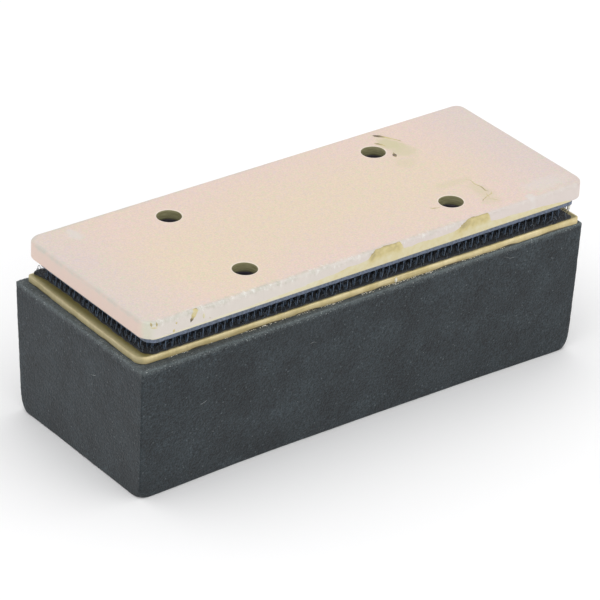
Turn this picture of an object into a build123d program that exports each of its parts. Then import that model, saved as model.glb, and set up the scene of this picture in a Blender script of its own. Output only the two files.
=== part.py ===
"""Hook-and-loop sanding block: a drilled plate held on a foam pad by a pair of touch tapes.

Millimetres, +Z up. The foam's sanding face lies on z = 0, and the origin is under the
middle of the whole object's box. The long side runs along X.
"""
from build123d import *

import os

# mounting plate
plateLength = 106.4
plateWidth = 40.6
plateThickness = 3.6
plateCornerRadius = 2.4
plateTopRound = 0.5
plateBottomRound = 0.3
plateCentre = (0.75, 0.0)

# four screw holes, countersunk from the tape side so that flat heads lie under the tape
holeSpacingX = 50.0
holeSpacingY = 25.0
holeDiameter = 5.0
countersinkDiameter = 8.2
countersinkAngle = 90.0

# hook tape, bonded square to the plate
hookTapeLength = 102.6
hookTapeWidth = 38.2
hookTapeCentre = (-0.15, -0.9)
hookTapeThickness = 1.05
hookStemLength = 1.35
stemInset = 0.25

# loop tape, bonded square to the backing board
loopTapeLength = 101.7
loopTapeWidth = 38.1
loopTapeShift = (-0.45, 0.0)
loopTapeThickness = 0.5
loopPileHeight = 0.9
pileInset = 0.1
pileToStemGap = 0.1

# backing board, bonded to the foam a fraction of a degree askew
boardLength = 105.6
boardWidth = 38.6
boardThickness = 1.3
boardCornerRadius = 1.2
boardCentre = (0.15, -0.5)
boardTurn = -0.7

# foam block, a little narrower and rounder at its sanding face than at its top
foamTopLength = 107.4
foamTopWidth = 41.8
foamBottomLength = 105.6
foamBottomWidth = 40.4
foamHeight = 28.75
foamTopCornerRadius = 0.3
foamBottomCornerRadius = 1.2
foamCentre = (-0.25, 0.0)

# films of adhesive between the layers
foamAdhesiveThickness = 0.15
tapeAdhesiveThickness = 0.1
plateAdhesiveThickness = 0.1
tapeCornerRadius = 2.4

# heights of the layers, from the sanding face up
foamAdhesiveBase = foamHeight
boardBase = foamAdhesiveBase + foamAdhesiveThickness
tapeAdhesiveBase = boardBase + boardThickness
loopTapeBase = tapeAdhesiveBase + tapeAdhesiveThickness
loopPileBase = loopTapeBase + loopTapeThickness
hookStemBase = loopPileBase + loopPileHeight + pileToStemGap
hookTapeBase = hookStemBase + hookStemLength
plateAdhesiveBase = hookTapeBase + hookTapeThickness
plateBase = plateAdhesiveBase + plateAdhesiveThickness


def roundedSlab(length, width, height, radius, centre, base, turn=0.0):
    """A flat slab with rounded plan corners, its underside at height base."""
    outline = RectangleRounded(length, width, radius)
    place = Location((centre[0], centre[1], base), (0, 0, turn))
    return place * extrude(outline, amount=height)


def makeMountingPlate():
    slab = roundedSlab(plateLength, plateWidth, plateThickness, plateCornerRadius, (0, 0), 0)
    slab = fillet(slab.faces().sort_by(Axis.Z)[-1].edges(), plateTopRound)
    slab = fillet(slab.faces().sort_by(Axis.Z)[0].edges(), plateBottomRound)
    hole = Cylinder(holeDiameter / 2, 3 * plateThickness)
    sinkDepth = (countersinkDiameter - holeDiameter) / 2
    sink = Pos(0, 0, sinkDepth / 2) * Cone(countersinkDiameter / 2, holeDiameter / 2, sinkDepth)
    for place in GridLocations(holeSpacingX, holeSpacingY, 2, 2):
        slab -= place * (hole + sink)
    return Pos(plateCentre[0], plateCentre[1], plateBase) * slab


def makeFoamBlock():
    bottom = RectangleRounded(foamBottomLength, foamBottomWidth, foamBottomCornerRadius)
    top = RectangleRounded(foamTopLength, foamTopWidth, foamTopCornerRadius)
    block = loft([bottom, Pos(0, 0, foamHeight) * top], ruled=True)
    return Pos(foamCentre[0], foamCentre[1], 0) * block


def onBoard(shift):
    """The place of a point given on the turned backing board."""
    turned = Vector(shift[0], shift[1], 0).rotate(Axis.Z, boardTurn)
    return (boardCentre[0] + turned.X, boardCentre[1] + turned.Y)


def makeBackingBoard():
    return roundedSlab(
        boardLength, boardWidth, boardThickness, boardCornerRadius, boardCentre, boardBase, boardTurn
    )


def makeFoamAdhesive():
    inset = 0.6
    return roundedSlab(
        boardLength - 2 * inset,
        boardWidth - 2 * inset,
        foamAdhesiveThickness,
        boardCornerRadius,
        boardCentre,
        foamAdhesiveBase,
        boardTurn,
    )


def loopLayer(thickness, base, inset):
    """One layer of the loop tape, cut in from the tape's edge by inset."""
    return roundedSlab(
        loopTapeLength - 2 * inset,
        loopTapeWidth - 2 * inset,
        thickness,
        tapeCornerRadius,
        onBoard(loopTapeShift),
        base,
        boardTurn,
    )


def hookLayer(thickness, base, inset):
    """One layer of the hook tape, cut in from the tape's edge by inset."""
    return roundedSlab(
        hookTapeLength - 2 * inset,
        hookTapeWidth - 2 * inset,
        thickness,
        tapeCornerRadius,
        hookTapeCentre,
        base,
    )


def makeNodes():
    return {
        "foam_block": makeFoamBlock(),
        "foam_adhesive": makeFoamAdhesive(),
        "backing_board": makeBackingBoard(),
        "tape_adhesive": loopLayer(tapeAdhesiveThickness, tapeAdhesiveBase, stemInset),
        "loop_tape": loopLayer(loopTapeThickness, loopTapeBase, 0),
        "loop_pile": loopLayer(loopPileHeight, loopPileBase, pileInset),
        "hook_stems": hookLayer(hookStemLength, hookStemBase, stemInset),
        "hook_tape": hookLayer(hookTapeThickness, hookTapeBase, 0),
        "plate_adhesive": hookLayer(plateAdhesiveThickness, plateAdhesiveBase, stemInset),
        "mounting_plate": makeMountingPlate(),
    }


os.makedirs("parts", exist_ok=True)
for name, solid in makeNodes().items():
    solid.label = name
    export_step(solid, f"parts/{name}.step")
    box = solid.bounding_box()
    print(f"{name}: {box.size.X:.2f} x {box.size.Y:.2f} x {box.size.Z:.2f} mm, base at {box.min.Z:.2f}")
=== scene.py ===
import math
import random

import bmesh
import bpy
import numpy as np
from mathutils import Matrix, Vector, noise
from mathutils.bvhtree import BVHTree


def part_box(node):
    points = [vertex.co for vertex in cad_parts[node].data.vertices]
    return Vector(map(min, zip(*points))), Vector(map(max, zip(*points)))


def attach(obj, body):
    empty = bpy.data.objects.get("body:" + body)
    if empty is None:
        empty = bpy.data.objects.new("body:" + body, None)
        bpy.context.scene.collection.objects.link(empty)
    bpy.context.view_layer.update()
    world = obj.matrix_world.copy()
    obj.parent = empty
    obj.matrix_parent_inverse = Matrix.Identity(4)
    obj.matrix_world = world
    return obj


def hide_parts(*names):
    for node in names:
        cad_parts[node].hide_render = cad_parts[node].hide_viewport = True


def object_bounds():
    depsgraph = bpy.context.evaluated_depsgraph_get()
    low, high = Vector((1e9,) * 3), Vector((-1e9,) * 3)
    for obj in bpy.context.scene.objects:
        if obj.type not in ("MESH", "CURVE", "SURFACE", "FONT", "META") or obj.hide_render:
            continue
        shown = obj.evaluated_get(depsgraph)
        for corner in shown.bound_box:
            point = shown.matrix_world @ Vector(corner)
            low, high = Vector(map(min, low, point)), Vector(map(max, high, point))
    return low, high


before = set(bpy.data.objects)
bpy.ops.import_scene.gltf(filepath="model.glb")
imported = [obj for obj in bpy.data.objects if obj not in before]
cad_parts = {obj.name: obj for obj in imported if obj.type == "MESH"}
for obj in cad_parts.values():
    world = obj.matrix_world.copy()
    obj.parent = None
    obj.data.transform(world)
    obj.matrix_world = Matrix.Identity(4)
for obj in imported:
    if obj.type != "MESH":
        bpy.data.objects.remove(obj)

mm = 0.001
cadLow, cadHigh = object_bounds()

nodeKinds = {
    "attribute": "ShaderNodeAttribute",
    "bump": "ShaderNodeBump",
    "coords": "ShaderNodeTexCoord",
    "mapping": "ShaderNodeMapping",
    "math": "ShaderNodeMath",
    "mix": "ShaderNodeMix",
    "noise": "ShaderNodeTexNoise",
    "ramp": "ShaderNodeValToRGB",
    "range": "ShaderNodeMapRange",
    "split": "ShaderNodeSeparateXYZ",
    "vector": "ShaderNodeVectorMath",
    "voronoi": "ShaderNodeTexVoronoi",
    "wave": "ShaderNodeTexWave",
}


def toLinear(code):  # an sRGB hex colour as linear red, green, blue and alpha
    parts = [int(code[i:i + 2], 16) / 255 for i in (0, 2, 4)]
    return [c / 12.92 if c <= 0.04045 else ((c + 0.055) / 1.055) ** 2.4 for c in parts] + [1.0]


def addNode(tree, kind, settings=None, inputs=None):
    node = tree.nodes.new(nodeKinds.get(kind, kind))
    for key, value in (settings or {}).items():
        if key == "stops":  # a colour ramp's stops: place and hex colour
            while len(node.color_ramp.elements) < len(value):
                node.color_ramp.elements.new(0.5)
            for stop, (place, code) in zip(node.color_ramp.elements, value):
                stop.position = place
                stop.color = toLinear(code)
        else:
            setattr(node, key, value)
    for key, value in (inputs or {}).items():
        if isinstance(key, int):
            socket = node.inputs[key]
        else:
            socket = next(s for s in node.inputs if s.enabled and s.name == key)
        if isinstance(value, bpy.types.Node):
            value = next(s for s in value.outputs if s.enabled)
        if isinstance(value, bpy.types.NodeSocket):
            tree.links.new(value, socket)
        else:
            socket.default_value = toLinear(value) if isinstance(value, str) and len(value) == 6 else value
    return node


def mathNode(tree, operation, *values):
    return addNode(tree, "math", {"operation": operation}, dict(enumerate(values)))


def mixNode(tree, share, under, over):  # one colour laid over another by a share
    return addNode(tree, "mix", {"data_type": "RGBA"}, {"Factor": share, "A": under, "B": over})


def shadeNode(tree, colour, shade):  # a colour multiplied by a grey level
    settings = {"data_type": "RGBA", "blend_type": "MULTIPLY"}
    return addNode(tree, "mix", settings, {"Factor": 1.0, "A": colour, "B": shade})


def rangeNode(tree, value, start, end, low=0.0, high=1.0, easing="LINEAR"):  # low at start, high at end
    return addNode(tree, "range", {"interpolation_type": easing}, {
        "Value": value, "From Min": start, "From Max": end, "To Min": low, "To Max": high,
    })


def easeNode(tree, value, start, end, low=0.0, high=1.0):  # the same with a soft beginning and end
    return rangeNode(tree, value, start, end, low, high, "SMOOTHSTEP")


def noiseNode(tree, place, scale, detail, roughness=0.5):
    return addNode(tree, "noise", {}, {
        "Vector": place, "Scale": scale, "Detail": detail, "Roughness": roughness,
    })


def rampNode(tree, level, stops):
    return addNode(tree, "ramp", {"stops": stops}, {"Fac": level})


def spotNode(tree, place, centre, size):  # distance from a spot in plan, 1 at the edge of its ellipse
    shift = addNode(tree, "vector", {"operation": "MULTIPLY_ADD"}, {
        0: place,
        1: (1 / size[0], 1 / size[1], 0),
        2: (-centre[0] / size[0], -centre[1] / size[1], 0),
    })
    return addNode(tree, "vector", {"operation": "LENGTH"}, {0: shift}).outputs["Value"]


def wireTo(tree, node, shader, socket):
    tree.links.new(next(s for s in node.outputs if s.enabled), shader.inputs[socket])


def addRelief(tree, shader, height, strength, distance):
    bump = addNode(tree, "bump", {}, {"Height": height, "Strength": strength, "Distance": distance})
    wireTo(tree, bump, shader, "Normal")


def startMaterial(name, values):  # a Principled material and its Object coordinates in millimetres
    material = bpy.data.materials.new(name)
    material.use_nodes = True
    tree = material.node_tree
    shader = tree.nodes["Principled BSDF"]
    for key, value in values.items():
        shader.inputs[key].default_value = value
    coords = addNode(tree, "coords")
    place = addNode(tree, "mapping", {}, {"Vector": coords.outputs["Object"], "Scale": (1000, 1000, 1000)})
    return material, tree, shader, place


# zinc plate with a thin pale passivation: satin metal drifting from pink to straw, greyer to its ends
plateFinish = {
    "pink": "e8cfc5",
    "straw": "e8d6b6",
    "grey": "d5ccc9",
    "lilac": "dacdd1",
    "green": "d4d8bf",
    "stain": "cfc8a2",
    "haze": "dcd9d4",
    # grey laid in patches along the turned edge
    "greyedEdge": "c8c6bb",
    "corner": "cfd2bd",
    # the next three: side tints, partly painted light and shade of each side over the plating's colour
    "frontWash": "d9d1c9",
    "frontLilac": "d6c9c4",
    "endWash": "e0c8bb",
    "speckLight": "e9e9e2",
    "speckDark": "bfbdac",
    # a painted highlight: the pale ring laid on the broken edge of each bore
    "lip": "ebe2d5",
    "bore": "938e68",
    "boreWall": "b6b189",
    "driftSize": 30,
    "flakeSize": 0.8,
    "pitSize": 0.3,
    "heart": (50, 19),  # half-sizes in mm of the strawy middle
    "ends": (34, 54),  # where the grey of the ends begins and is full
    "cornerReach": (2.7, 0.2),
    "filmShare": 0.42,
    "lipHighlightShare": 0.7,
}

# smears of adhesive by the right-hand holes, and wiped hazes: centre, half-sizes in mm, strength, colour
smears = [
    ((30.6, 13.6), (2.5, 3.6), 0.85, "stain"),
    ((31.3, 9.6), (2.8, 3.2), 0.6, "stain"),
    ((28.6, 5.4), (2.8, 2.6), 0.3, "stain"),
    ((30.6, -6.6), (5.4, 1.5), 0.34, "stain"),
    ((33.6, -12.4), (2.2, 4.4), 0.42, "stain"),
    ((33.0, -16.4), (2.6, 1.5), 0.32, "stain"),
    ((-43.8, 16.2), (1.6, 2.6), 0.5, "haze"),
    ((40.3, -19.4), (1.2, 1.2), 0.6, "haze"),
    ((46.0, -16.5), (6.0, 2.6), 0.35, "haze"),
]


def zincPassivated():
    look = plateFinish
    material, tree, shader, place = startMaterial("zincPassivated", {"Metallic": 0.55})
    plateLow, plateHigh = [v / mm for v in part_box("mounting_plate")]
    middle = (plateLow + plateHigh) / 2
    axes = addNode(tree, "split", {}, {"Vector": place})

    drift = noiseNode(tree, place, 1 / look["driftSize"], 2.0)
    tint = rampNode(tree, drift, [(0.38, look["pink"]), (0.62, look["straw"])])
    toRim = rangeNode(tree, spotNode(tree, place, middle, look["heart"]), 0.25, 1.05, 0.0, 0.75)
    body = mixNode(tree, toRim, look["straw"], tint)
    endwards = mathNode(tree, "ABSOLUTE", axes.outputs["X"])
    toEnd = easeNode(tree, endwards, *look["ends"], 0.0, 0.7)
    body = mixNode(tree, toEnd, body, look["grey"])

    flakes = noiseNode(tree, place, 1 / look["flakeSize"], 3.0, 0.7)
    film = rampNode(tree, flakes, [(0.36, look["green"]), (0.5, look["pink"]), (0.64, look["lilac"])])
    body = mixNode(tree, look["filmShare"], body, film)
    grain = noiseNode(tree, place, 1 / look["pitSize"], 4.0)
    grainShade = rangeNode(tree, grain, 0.0, 1.0, 0.8, 1.14)
    body = shadeNode(tree, body, grainShade)

    # the sides: the long front one is washed out and faintly lilac to the right, the short left one pinker;
    # these side tints are partly painted light and shade, each side coloured for how it faces the light, over
    # the plating's own colour
    onFront = easeNode(tree, axes.outputs["Y"], plateLow.y + 0.7, plateLow.y + 0.1)
    rightward = easeNode(tree, axes.outputs["X"], -16, 6, 0.0, 0.6)
    wash = mixNode(tree, rightward, look["frontWash"], look["frontLilac"])
    body = mixNode(tree, onFront, body, wash)
    onEnd = easeNode(tree, axes.outputs["X"], plateLow.x + 0.6, plateLow.x + 0.1, 0.0, 0.8)
    body = mixNode(tree, onEnd, body, look["endWash"])
    # the turned edge is greyed in patches, least at the front's right; the near corner is greenish
    rim = addNode(tree, "attribute", {"attribute_name": "edge"})
    greyPatches = noiseNode(tree, place, 1 / 3.0, 3.0, 0.6)
    greyPatchShare = rangeNode(tree, greyPatches, 0.35, 0.62, 0.2, 1.0)
    spared = easeNode(tree, axes.outputs["X"], -25, 35, 0.85, 0.3)
    rimShare = mathNode(tree, "MULTIPLY", greyPatchShare, spared)
    rimLevel = mathNode(tree, "MULTIPLY", rim.outputs["Fac"], rimShare)
    body = mixNode(tree, rimLevel, body, look["greyedEdge"])
    begin, full = look["cornerReach"]
    nearX = easeNode(tree, axes.outputs["X"], plateLow.x + begin, plateLow.x + full, 0.0, 0.95)
    nearY = easeNode(tree, axes.outputs["Y"], plateLow.y + begin, plateLow.y + full, 0.0, 0.95)
    body = mixNode(tree, mathNode(tree, "MULTIPLY", nearY, nearX), body, look["corner"])
    # painted highlight: a pale ring mixed over the broken edge of each bore
    lip = addNode(tree, "attribute", {"attribute_name": "lip"})
    lipHighlightShare = mathNode(tree, "MULTIPLY", lip.outputs["Fac"], look["lipHighlightShare"])
    body = mixNode(tree, lipHighlightShare, body, look["lip"])

    ragged = noiseNode(tree, place, 1 / 2.2, 4.0, 0.6)
    for centre, size, strength, colour in smears:
        torn = mathNode(tree, "MULTIPLY_ADD", ragged, 1.3, spotNode(tree, place, centre, size))
        mask = easeNode(tree, torn, 1.8, 1.1, 0.0, strength)
        body = mixNode(tree, mask, body, look[colour])

    # the front edge is scuffed: light and dark specks where the top turns into the side
    nearFront = easeNode(tree, axes.outputs["Y"], plateLow.y + 1.5, plateLow.y + 0.5)
    highUp = easeNode(tree, axes.outputs["Z"], plateHigh.z - 1.5, plateHigh.z - 0.6)
    edgeBand = mathNode(tree, "MULTIPLY", nearFront, highUp)
    scuffed = rangeNode(tree, axes.outputs["X"], -5, 35, 1.0, 0.25)
    edgeBand = mathNode(tree, "MULTIPLY", edgeBand, scuffed)
    speckPlace = addNode(tree, "mapping", {}, {"Vector": place, "Scale": (1.0, 0.7, 0.7)})
    specks = noiseNode(tree, speckPlace, 1.2, 5.0, 0.75)
    lightSpeck = rangeNode(tree, specks, 0.54, 0.64, 0.0, 0.75)
    darkSpeck = rangeNode(tree, specks, 0.46, 0.36, 0.0, 0.6)
    for mask, colour in ((lightSpeck, look["speckLight"]), (darkSpeck, look["speckDark"])):
        spot = mathNode(tree, "MULTIPLY", mask, edgeBand)
        body = mixNode(tree, spot, body, colour)

    wireTo(tree, body, shader, "Base Color")
    satin = rangeNode(tree, grain, 0.0, 1.0, 0.42, 0.6)
    wireTo(tree, satin, shader, "Roughness")
    scuff = mathNode(tree, "MULTIPLY", specks, edgeBand)
    relief = mathNode(tree, "MULTIPLY_ADD", scuff, 3.0, grain)
    addRelief(tree, shader, relief, 0.35, 0.03 * mm)
    return material


# the bare drilled wall: the same plating, thin and dull, so it shows olive
def drilledWall():
    material, tree, shader, place = startMaterial("drilledWall", {"Metallic": 0.3, "Roughness": 0.55})
    turned = addNode(tree, "mapping", {}, {"Vector": place, "Scale": (0.4, 0.4, 6.0)})
    rings = noiseNode(tree, turned, 1.2, 3.0)
    tone = rampNode(tree, rings, [(0.35, plateFinish["bore"]), (0.65, plateFinish["boreWall"])])
    wireTo(tree, tone, shader, "Base Color")
    addRelief(tree, shader, rings, 0.4, 0.04 * mm)
    return material


glueStops = [(0.12, "d4ceb4"), (0.3, "cfc49b"), (0.5, "c6b780"), (0.75, "a3956a"), (1.0, "67583f")]
# painted light: the glued face seen at the bottom of the bores is given a pale lilac, far lighter than the
# dark adhesive, to lift it out of the bores' shade
lightenedAdhesiveStops = [(0.1, "c0aab0"), (0.35, "d8c6cc")]


# dried contact adhesive: cream where thin, olive amber where thick, with the soft gloss of a rubbery skin
def driedAdhesive(name, stops):
    material, tree, shader, place = startMaterial(name, {"Roughness": 0.42, "IOR": 1.5})
    depth = addNode(tree, "attribute", {"attribute_name": "glueDepth"})
    lumps = noiseNode(tree, place, 1 / 0.9, 4.0)
    level = mathNode(tree, "MULTIPLY_ADD", lumps, 0.4, depth.outputs["Fac"])
    tone = rampNode(tree, level, stops)
    wireTo(tree, tone, shader, "Base Color")
    addRelief(tree, shader, lumps, 0.5, 0.08 * mm)
    return material


# white beads of the foam's adhesive: chalky and broken
def chalkyAdhesive():
    material, tree, shader, place = startMaterial("chalkyAdhesive", {"Roughness": 0.7})
    crumbs = noiseNode(tree, place, 1 / 0.25, 3.0)
    tone = rampNode(tree, crumbs, [(0.3, "bdb79a"), (0.7, "f3f1e6")])
    wireTo(tree, tone, shader, "Base Color")
    return material


# moulded black nylon: the base strip is bluish and glossy on its rolled edge, the hooks are darker; the
# strip's light bluish grey is partly painted highlight, standing for the gloss on its rolled edge
def mouldedNylon(name, dark, light, roughness):
    material, tree, shader, place = startMaterial(name, {"Roughness": roughness, "IOR": 1.53})
    ribs = noiseNode(tree, place, 1 / 0.5, 3.0)
    tone = rampNode(tree, ribs, [(0.35, dark), (0.7, light)])
    wireTo(tree, tone, shader, "Base Color")
    addRelief(tree, shader, ribs, 0.5, 0.05 * mm)
    return material


# looped nylon filament: black, soft, with a faint sheen along each thread
def loopedNylon(name, dark, light, roughness):
    material, tree, shader, place = startMaterial(name, {
        "Roughness": roughness, "IOR": 1.53, "Sheen Weight": 0.3, "Sheen Roughness": 0.4,
    })
    threads = noiseNode(tree, place, 1 / 0.8, 2.0)
    tone = rampNode(tree, threads, [(0.35, dark), (0.7, light)])
    wireTo(tree, tone, shader, "Base Color")
    knit = addNode(tree, "wave", {"bands_direction": "DIAGONAL"}, {
        "Vector": place, "Scale": 1 / 0.8, "Distortion": 2.0, "Detail": 2.0,
    })
    addRelief(tree, shader, knit, 0.4, 0.08 * mm)
    return material


# resin-bonded laminate sheet: straw and cream with fine layers along the sawn edge, satin faces
boardFinish = {
    "cream": "e0d0a0",
    "straw": "c9b882",
    "line": "9a8b60",
    # painted shade for the board's left end face
    "darkening": "9c9472",
    # the board's upper face: painted shade, olive under the tapes and pile, lighter towards the left end
    "top": "847a49",
    "topShadeOuter": "b4ab80",
    "shadowGap": "4d4434",
    "layer": 0.28,
}


def resinLaminate():
    look = boardFinish
    material, tree, shader, place = startMaterial("resinLaminate", {"Roughness": 0.5, "IOR": 1.5})
    mottle = noiseNode(tree, place, 1 / 3.5, 4.0)
    tone = rampNode(tree, mottle, [(0.35, look["straw"]), (0.6, look["cream"])])
    flat = addNode(tree, "mapping", {}, {"Vector": place, "Scale": (0.12, 0.12, 1 / look["layer"])})
    layers = noiseNode(tree, flat, 1.0, 3.0)
    layerMask = rangeNode(tree, layers, 0.5, 0.3, 0.0, 0.45)
    tone = mixNode(tree, layerMask, tone, look["line"])
    boardLow, boardHigh = [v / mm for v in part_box("backing_board")]
    axes = addNode(tree, "split", {}, {"Vector": place})
    # darker towards the bottom of the sides
    darkening = rangeNode(tree, axes.outputs["Z"], boardHigh.z - 0.3, boardLow.z - 0.1, 0.0, 0.75)
    tone = mixNode(tree, darkening, tone, look["line"])
    # painted shade: the left end face darkened as a side turned from the light
    atEnd = easeNode(tree, axes.outputs["X"], boardLow.x + 1.6, boardLow.x + 0.5, 0.0, 0.6)
    tone = mixNode(tree, atEnd, tone, look["darkening"])
    # painted shade on the upper face: olive under the tapes and pile, lightening towards the board's left end
    topFace = addNode(tree, "attribute", {"attribute_name": "topFace"})
    outward = easeNode(tree, axes.outputs["X"], boardLow.x + 1.8, boardLow.x + 0.2)
    topShadeTone = mixNode(tree, outward, look["top"], look["topShadeOuter"])
    tone = mixNode(tree, topFace.outputs["Fac"], tone, topShadeTone)
    # the saw left fine upright lines, and the lowest part is unevenly darkened: painted shadow of a thin gap
    # above the foam
    sawn = addNode(tree, "mapping", {}, {"Vector": place, "Scale": (1.6, 1.6, 0.2)})
    sawLines = noiseNode(tree, sawn, 1.0, 2.0)
    sawShade = rangeNode(tree, sawLines, 0.3, 0.7, 0.95, 1.08)
    tone = shadeNode(tree, tone, sawShade)
    gapShadowSpread = noiseNode(tree, place, 1 / 9.0, 2.0)
    gapHeight = rangeNode(tree, gapShadowSpread, 0.42, 0.6, 0.0, 0.42)
    overFoam = mathNode(tree, "SUBTRACT", axes.outputs["Z"], boardLow.z - 0.15)
    gapShare = mathNode(tree, "SUBTRACT", gapHeight, overFoam)
    gapMask = rangeNode(tree, gapShare, 0.0, 0.1, 0.0, 0.85)
    tone = mixNode(tree, gapMask, tone, look["shadowGap"])
    wireTo(tree, tone, shader, "Base Color")
    fibres = noiseNode(tree, place, 1 / 0.3, 4.0)
    addRelief(tree, shader, fibres, 0.3, 0.04 * mm)
    return material


# dense black foam: closed cells under half a millimetre across, cut open, matt and slightly grey with dust
foamFinish = {
    "deep": "0d1317",
    "face": "20282c",
    "pale": "3b464b",
    # the pale grey of the rim: dust and torn cells along the upper edges, with painted highlight there and
    # painted light on the upward top face
    "rim": "6f7878",
    "speck": "6b7477",
    "cell": 0.42,
}


def cutFoam():
    look = foamFinish
    material, tree, shader, place = startMaterial("cutFoam", {
        "Roughness": 0.9, "Specular IOR Level": 0.25, "Sheen Weight": 0.15, "Sheen Roughness": 0.6,
    })
    cells = addNode(tree, "voronoi", {"feature": "SMOOTH_F1"}, {"Vector": place, "Scale": 1 / look["cell"]})
    fine = noiseNode(tree, place, 1 / 0.3, 4.0, 0.65)
    patches = noiseNode(tree, place, 1 / 6.0, 3.0)
    blend = mathNode(tree, "MULTIPLY_ADD", patches, 0.35, fine)
    tone = rampNode(tree, blend, [(0.5, look["deep"]), (0.68, look["face"]), (0.95, look["pale"])])
    grit = noiseNode(tree, place, 1 / 0.55, 3.0, 0.6)
    gritShade = rangeNode(tree, grit, 0.3, 0.7, 0.52, 1.42)
    tone = shadeNode(tree, tone, gritShade)
    dust = addNode(tree, "voronoi", {}, {"Vector": place, "Scale": 1 / 1.6})
    dustMask = rangeNode(tree, dust.outputs["Distance"], 0.13, 0.06, 0.0, 0.45)
    tone = mixNode(tree, dustMask, tone, look["speck"])
    # the rim attribute: dust and torn cells at the upper edges, plus painted light on the top face and a
    # painted highlight along its edges
    rim = addNode(tree, "attribute", {"attribute_name": "rim"})
    rimLevel = mathNode(tree, "MULTIPLY", rim.outputs["Fac"], fine.outputs["Fac"])
    rimDustAndLightMask = rangeNode(tree, rimLevel, 0.15, 0.6, 0.0, 0.8)
    tone = mixNode(tree, rimDustAndLightMask, tone, look["rim"])
    wireTo(tree, tone, shader, "Base Color")
    relief = mathNode(tree, "MULTIPLY_ADD", fine, 0.8, cells.outputs["Distance"])
    addRelief(tree, shader, relief, 0.7, 0.12 * mm)
    return material


# grey foam crumbs and dust caught on the cut faces
def foamDust():
    material, tree, shader, place = startMaterial("foamDust", {"Roughness": 0.9})
    spread = noiseNode(tree, place, 1 / 2.0, 2.0)
    tone = rampNode(tree, spread, [(0.35, "565c5e"), (0.7, "a2a7a6")])
    wireTo(tree, tone, shader, "Base Color")
    return material


# plain studio sheet
def studioSheet():
    material, tree, shader, place = startMaterial("studioSheet", {
        "Roughness": 0.9, "Specular IOR Level": 0.1,
    })
    spread = noiseNode(tree, place, 1 / 300, 2.0)
    tone = rampNode(tree, spread, [(0.3, "f9f9f8"), (0.7, "fcfcfb")])
    wireTo(tree, tone, shader, "Base Color")
    return material


finishes = {
    "plate": zincPassivated(),
    "bore": drilledWall(),
    "glue": driedAdhesive("driedAdhesive", glueStops),
    # the adhesive on the glued faces seen in the bores, lightened as painted light
    "back": driedAdhesive("lightenedAdhesive", lightenedAdhesiveStops),
    "beads": chalkyAdhesive(),
    # the strip: black nylon lifted to a light bluish grey, partly painted highlight of its glossy rolled edge
    "strip": mouldedNylon("nylonStripPaintedGloss", "47525f", "67728a", 0.32),
    "hooks": mouldedNylon("nylonHooks", "1d2a38", "41546a", 0.3),
    "loops": loopedNylon("nylonLoops", "1a2530", "354656", 0.45),
    "knit": loopedNylon("nylonKnit", "0c0f13", "191e25", 0.8),
    "board": resinLaminate(),
    "foam": cutFoam(),
    "dust": foamDust(),
}
print("materials made:", len(finishes))


def newPiece(name, mesh, material, smooth=True):
    piece = bpy.data.objects.new(name, mesh)
    bpy.context.scene.collection.objects.link(piece)
    if material and not mesh.materials:
        mesh.materials.append(material)
    if smooth:
        mesh.polygons.foreach_set("use_smooth", [True] * len(mesh.polygons))
    return piece


# points and outward normals of a rectangle with rounded corners, in millimetres
def outline(length, width, radii, spacing):
    points, normals = [], []
    signs = [(1, 1), (-1, 1), (-1, -1), (1, -1)]  # far right, far left, near left, near right
    centres = [np.array([sx * (length / 2 - r), sy * (width / 2 - r)]) for (sx, sy), r in zip(signs, radii)]
    for k, (centre, radius) in enumerate(zip(centres, radii)):
        arcSteps = max(5, round(radius * math.pi / 2 / spacing))
        for i in range(arcSteps + 1):
            angle = math.radians(90 * k + 90 * i / arcSteps)
            normal = np.array([math.cos(angle), math.sin(angle)])
            points.append(centre + radius * normal)
            normals.append(normal)
        begin, far = points[-1], centres[(k + 1) % 4] + radii[(k + 1) % 4] * normal
        steps = max(1, round(np.linalg.norm(far - begin) / spacing))
        for i in range(1, steps):
            points.append(begin + (far - begin) * i / steps)
            normals.append(normal)
    return np.array(points), np.array(normals)


def ringWall(bm, rings):  # quads between rings of as many points, listed from the top down
    loops = [[bm.verts.new(p) for p in ring] for ring in rings]
    for upper, lower in zip(loops, loops[1:]):
        for i in range(len(upper)):
            j = (i + 1) % len(upper)
            bm.faces.new((upper[i], lower[i], lower[j], upper[j]))
    return loops


def finishMesh(bm, name, turn=0.0, centre=(0, 0), base=0.0):
    bm.normal_update()
    mesh = bpy.data.meshes.new(name)
    bm.to_mesh(mesh)
    bm.free()
    place = Matrix.Translation((centre[0] * mm, centre[1] * mm, base * mm))
    mesh.transform(place @ Matrix.Rotation(math.radians(turn), 4, "Z") @ Matrix.Scale(mm, 4))
    return mesh


# rings of an outline drawn in by a profile: pairs of inset and height, from the top down
def slabRings(points, normals, profile, rough, grain):
    rings = []
    for inset, height in profile:
        ring = []
        for p, n in zip(points, normals):
            wobble = rough * noise.noise(Vector((p[0] * grain, p[1] * grain, height * grain)))
            ring.append((*(p - n * (inset + wobble)), height))
        rings.append(ring)
    return rings


def roundedProfile(thickness, topRound, bottomRound, support=0.4, steps=5):
    profile = [(topRound + support, thickness)]
    for i in range(steps + 1):
        a = math.pi / 2 * i / steps
        profile.append((topRound * (1 - math.sin(a)), thickness - topRound * (1 - math.cos(a))))
    if thickness - topRound - bottomRound > 2 * support:
        profile.append((0.0, thickness - topRound - support))
    for i in range(steps + 1):
        a = math.pi / 2 * i / steps
        profile.append((bottomRound * (1 - math.cos(a)), bottomRound * (1 - math.sin(a))))
    profile.append((bottomRound + support, 0.0))
    return profile


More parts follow.
